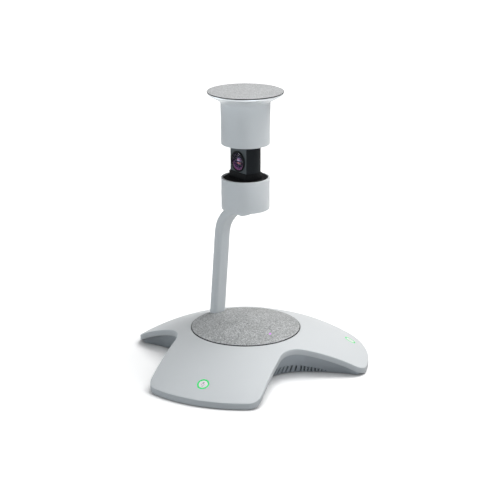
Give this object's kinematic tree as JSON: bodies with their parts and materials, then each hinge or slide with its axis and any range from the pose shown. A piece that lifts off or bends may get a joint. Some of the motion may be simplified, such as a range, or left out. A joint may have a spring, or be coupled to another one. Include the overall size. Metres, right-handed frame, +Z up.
{
  "type": "conference phone",
  "caption": "Tabletop conference phone with a domed three-armed speaker base, bent post, lens head and a sliding privacy cap.",
  "frame": {"origin": "centre of the pad under the base, at table level", "axes": "+Z up; -Y towards the status light and the open notch, +Y towards the post; the lenses look along -X and +X"},
  "size_m": [0.2582, 0.2368, 0.2921],
  "materials": {
    "shell_plastic": "fine satin moulded finish",
    "housing_plastic": "matt moulded finish",
    "black_plastic": "smooth semi-gloss",
    "key_plastic": "satin with a printed microphone sign",
    "grey_cloth": "speckled acoustic cloth",
    "foot_rubber": "matt",
    "zinc_steel": "zinc plated",
    "circuit_board": "solder resist",
    "speaker_paper": "coated paper",
    "green_light_guide": "translucent, lit green",
    "magenta_light_guide": "translucent, lit magenta",
    "coated_glass": "anti-reflection coated",
    "cable_jacket": "matt jacket"
  },
  "bodies": {
    "phone_body": {"ballast_plate": "zinc_steel", "base_fabric": "grey_cloth", "base_screw_1": "zinc_steel", "base_screw_2": "zinc_steel", "base_screw_3": "zinc_steel", "camera_column": "black_plastic", "centre_pad": "foot_rubber", "column_collar": "black_plastic", "cup_screw": "zinc_steel", "cup_shell": "shell_plastic", "deck_plate": "black_plastic", "foot_screw_1": "zinc_steel", "foot_screw_2": "zinc_steel", "grille_plate": "black_plastic", "head_board": "circuit_board", "key_board_1": "circuit_board", "key_board_2": "circuit_board", "key_board_3": "circuit_board", "lens_barrel_1": "black_plastic", "lens_barrel_2": "black_plastic", "lens_bezel_1": "black_plastic", "lens_bezel_2": "black_plastic", "lens_glass_1": "coated_glass", "lens_glass_2": "coated_glass", "light_ring_1": "green_light_guide", "light_ring_2": "green_light_guide", "light_ring_3": "green_light_guide", "lower_housing": "housing_plastic", "main_board": "circuit_board", "post": "shell_plastic", "post_cable": "cable_jacket", "post_foot": "black_plastic", "rubber_foot_1": "foot_rubber", "rubber_foot_2": "foot_rubber", "rubber_foot_3": "foot_rubber", "sensor_board_1": "circuit_board", "sensor_board_2": "circuit_board", "speaker_box": "black_plastic", "speaker_cone": "speaker_paper", "speaker_frame": "zinc_steel", "speaker_magnet": "zinc_steel", "status_light": "magenta_light_guide", "stop_plate": "zinc_steel", "stop_screw": "zinc_steel", "top_shell": "shell_plastic", "usb_socket": "zinc_steel"},
    "privacy_cap": {"cap_sleeve": "shell_plastic", "cap_bush": "black_plastic", "cap_mic_board": "circuit_board", "cap_grille": "black_plastic", "cap_fabric": "grey_cloth"},
    "key_1": {"mute_key_1": "key_plastic"},
    "key_2": {"mute_key_2": "key_plastic"},
    "key_3": {"mute_key_3": "key_plastic"}
  },
  "joints": [
    {"name": "cap_slide", "type": "slide", "parent": "phone_body", "child": "privacy_cap", "axis": [0, 0, -1], "range_m": [0, 0.0343]},
    {"name": "key_press_1", "type": "slide", "parent": "phone_body", "child": "key_1", "axis": [0, -0.4809, -0.8768], "range_m": [0, 0.0006], "stiffness_N_per_m": 800},
    {"name": "key_press_2", "type": "slide", "parent": "phone_body", "child": "key_2", "axis": [0.4164, 0.2404, -0.8768], "range_m": [0, 0.0006], "stiffness_N_per_m": 800},
    {"name": "key_press_3", "type": "slide", "parent": "phone_body", "child": "key_3", "axis": [-0.4164, 0.2404, -0.8768], "range_m": [0, 0.0006], "stiffness_N_per_m": 800}
  ]
}
